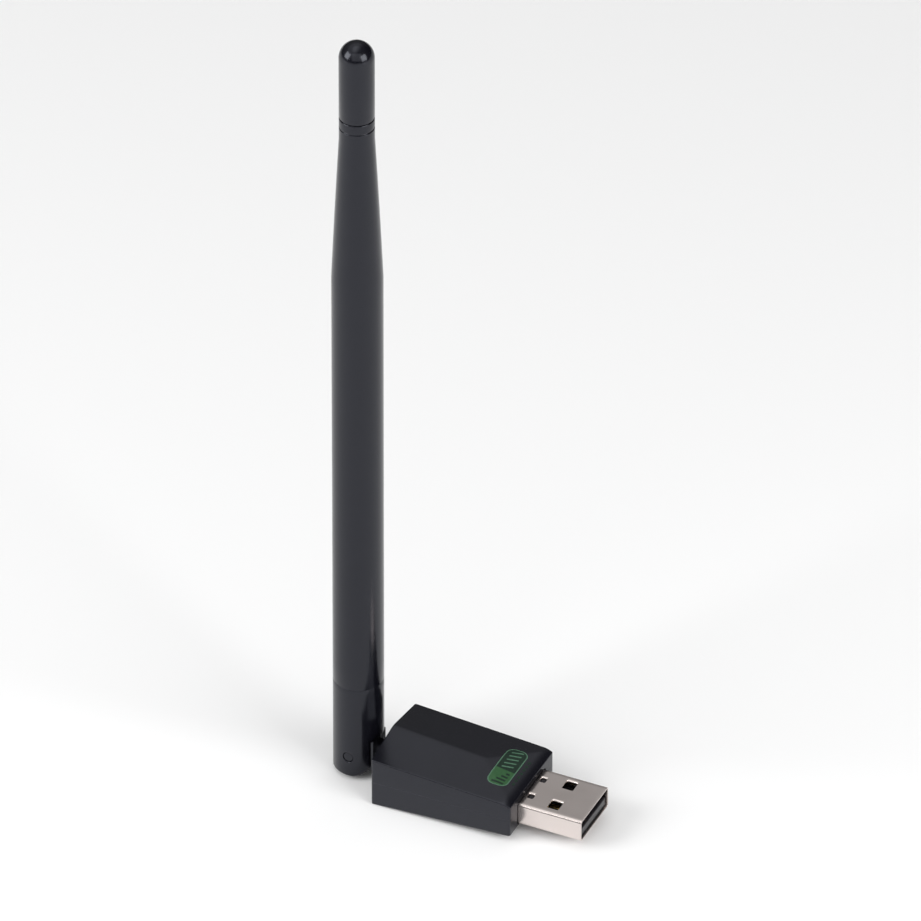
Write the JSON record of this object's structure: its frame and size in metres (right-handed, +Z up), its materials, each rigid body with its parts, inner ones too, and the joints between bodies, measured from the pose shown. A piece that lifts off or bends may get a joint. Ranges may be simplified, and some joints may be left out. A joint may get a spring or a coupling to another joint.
{
  "type": "usb wifi adapter",
  "caption": "Compact wireless network adapter: a wedge-shaped plastic case with a flat USB plug at one end and a long rod antenna on a tilting, swivelling hinge at the other.",
  "frame": {"origin": "middle of the footprint, on the surface that the adapter stands on", "axes": "+X along the plug towards its open end, +Y across the case, +Z up along the raised antenna"},
  "size_m": [0.0524, 0.019, 0.1622],
  "materials": {
    "case_plastic": "fine satin moulded plastic, charcoal black",
    "antenna_plastic": "smooth satin moulded plastic, charcoal black",
    "plug_steel": "satin nickel-plated pressed steel",
    "contact_gold": "gold-plated spring contact",
    "insulator_plastic": "dark grey moulded insulator",
    "board_laminate": "solder-masked glass-fibre laminate",
    "chip_resin": "moulded resin package",
    "capacitor_ceramic": "fired ceramic",
    "crystal_metal": "pressed metal lid",
    "tube_brass": "drawn tube",
    "radiator_copper": "bare copper wire",
    "black_rubber": "moulded rubber",
    "lead_jacket": "smooth jacket of a thin coaxial lead"
  },
  "bodies": {
    "housing": {"top_cover": "case_plastic", "bottom_cover": "case_plastic", "usb_shell": "plug_steel", "ground_contact": "contact_gold", "data_plus_contact": "contact_gold", "data_minus_contact": "contact_gold", "power_contact": "contact_gold", "usb_insulator": "insulator_plastic", "circuit_board": "board_laminate", "wifi_chip": "chip_resin", "voltage_regulator": "chip_resin", "power_inductor": "chip_resin", "rf_switch": "chip_resin", "resistor_1": "chip_resin", "resistor_2": "chip_resin", "resistor_3": "chip_resin", "capacitor_1": "capacitor_ceramic", "capacitor_2": "capacitor_ceramic", "capacitor_3": "capacitor_ceramic", "capacitor_4": "capacitor_ceramic", "crystal_can": "crystal_metal", "antenna_lead_case": "lead_jacket"},
    "swivel": {"swivel_neck": "antenna_plastic", "swivel_friction_ring": "black_rubber", "antenna_lead_hinge": "lead_jacket"},
    "antenna": {"antenna_knuckle": "antenna_plastic", "hinge_pin_left": "antenna_plastic", "hinge_pin_right": "antenna_plastic", "antenna_sleeve": "antenna_plastic", "tip_cap": "antenna_plastic", "antenna_lead_rod": "lead_jacket", "dipole_tube": "tube_brass", "lead_spacer_1": "black_rubber", "lead_spacer_2": "black_rubber", "tube_spacer": "black_rubber", "radiator_wire": "radiator_copper", "radiator_spacer": "black_rubber"}
  },
  "joints": [
    {"name": "antenna_swivel", "type": "hinge", "parent": "housing", "child": "swivel", "pos_m": [-0.01449, 0, 0.0051], "axis": [1, 0, 0], "range_deg": [-90, 90]},
    {"name": "antenna_tilt", "type": "hinge", "parent": "swivel", "child": "antenna", "pos_m": [-0.02149, 0, 0.0051], "axis": [0, 1, 0], "range_deg": [-90, 0]}
  ]
}
